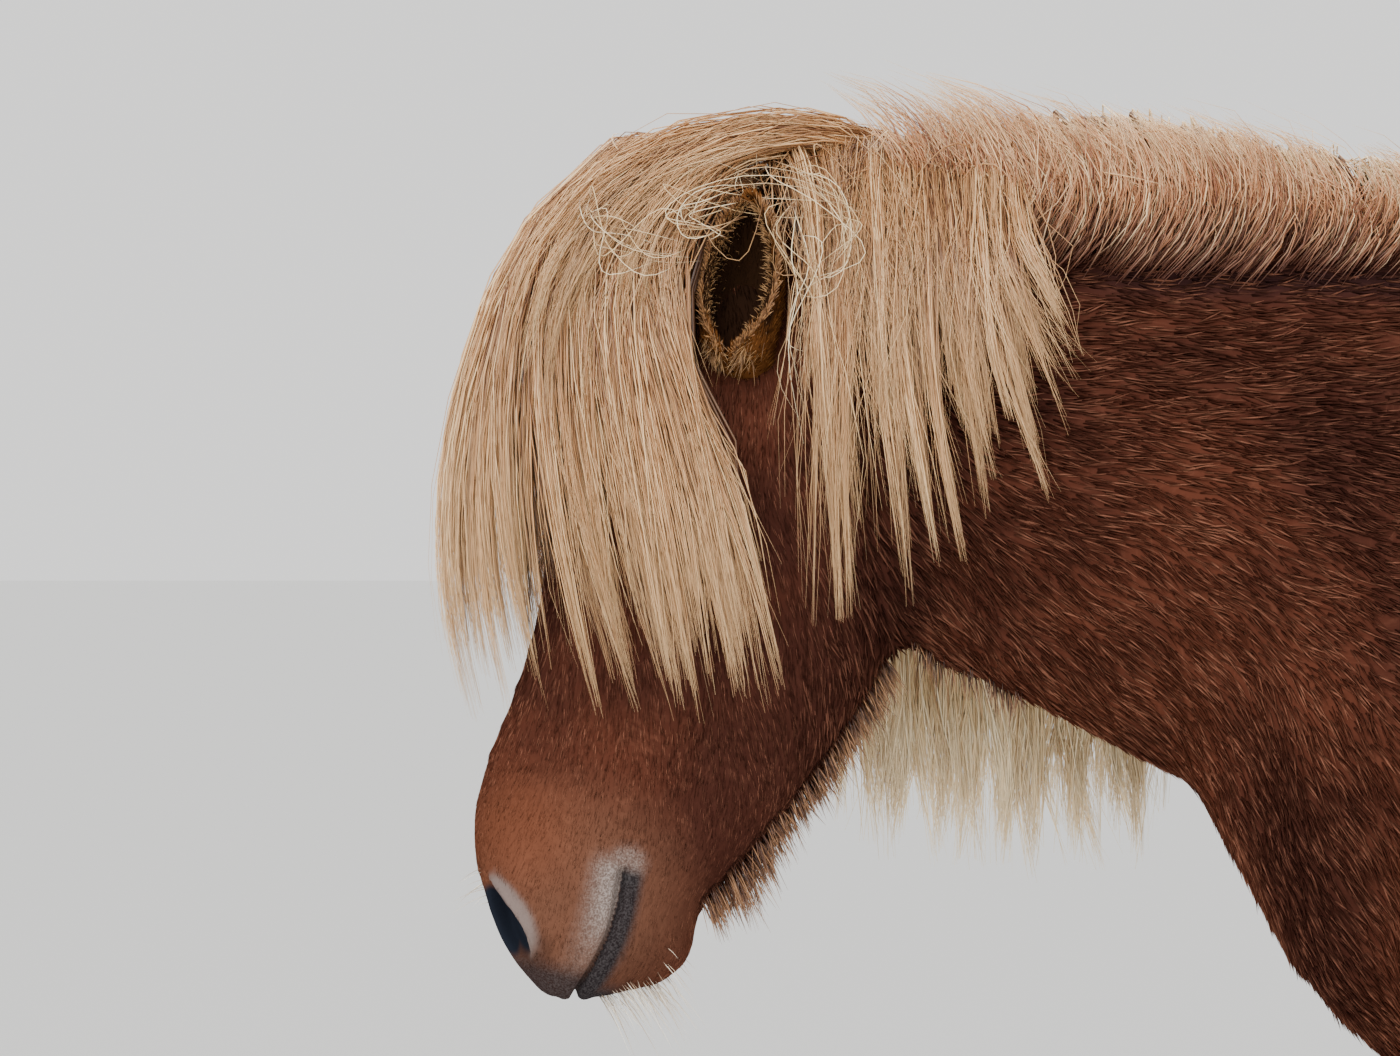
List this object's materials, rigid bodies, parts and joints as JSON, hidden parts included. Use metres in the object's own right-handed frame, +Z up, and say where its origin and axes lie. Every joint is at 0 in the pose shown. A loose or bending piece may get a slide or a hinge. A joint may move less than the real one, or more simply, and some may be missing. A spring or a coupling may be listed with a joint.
{
  "type": "icelandic horse",
  "caption": "Life-size Icelandic horse standing still, neck level and head hanging, with a chestnut coat and a thick flaxen mane, forelock and tail.",
  "frame": {"origin": "on the ground below the middle of the body, in the middle plane", "axes": "+Z up, -X the way the horse looks, -Y its left side"},
  "size_m": [2.051, 0.5306, 1.4375],
  "materials": {
    "coat": "short chestnut hair with a soft sheen",
    "dark_coat": "short dark hair on the ears",
    "muzzle": "short hair on the face, bare skin at the lips and nostrils",
    "mane": "long flaxen hair",
    "horn": "satin hoof horn",
    "eye": "wet dark eye"
  },
  "bodies": {
    "root": {"head": "muzzle", "neck": "coat", "torso": "coat", "foreleg_left": "coat", "foreleg_right": "coat", "hindleg_left": "coat", "hindleg_right": "coat", "hoof_fore_left": "horn", "hoof_fore_right": "horn", "hoof_hind_left": "horn", "hoof_hind_right": "horn", "ear_left": "dark_coat", "ear_right": "dark_coat", "eye_left": "eye", "eye_right": "eye", "tail": "mane"}
  },
  "joints": []
}
